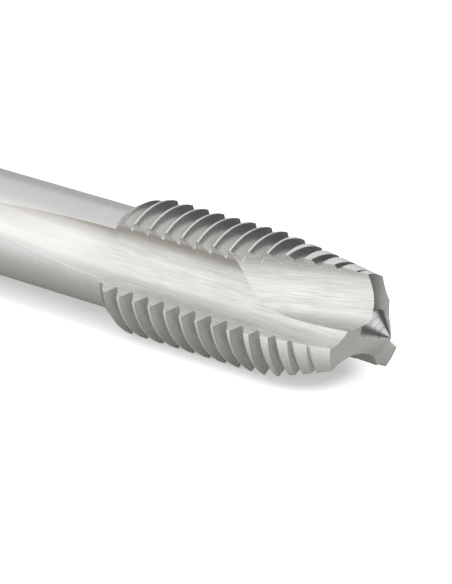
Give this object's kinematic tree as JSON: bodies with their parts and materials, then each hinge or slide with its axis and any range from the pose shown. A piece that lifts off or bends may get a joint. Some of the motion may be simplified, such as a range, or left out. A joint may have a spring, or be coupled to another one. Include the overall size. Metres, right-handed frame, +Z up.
{
  "type": "spiral point thread tap",
  "caption": "Straight-flute spiral point machine tap for cutting a right-hand M12 thread, with plain shank and drive square.",
  "frame": {"origin": "on the ground, under the middle of the tap's length, below its axis", "axes": "+X along the tap toward its point, +Z up, with the tap lying on two of its lands"},
  "size_m": [0.11, 0.012, 0.0111],
  "materials": {
    "ground_steel": "bright ground high-speed steel"
  },
  "bodies": {
    "root": {"tap": "ground_steel"}
  },
  "joints": []
}
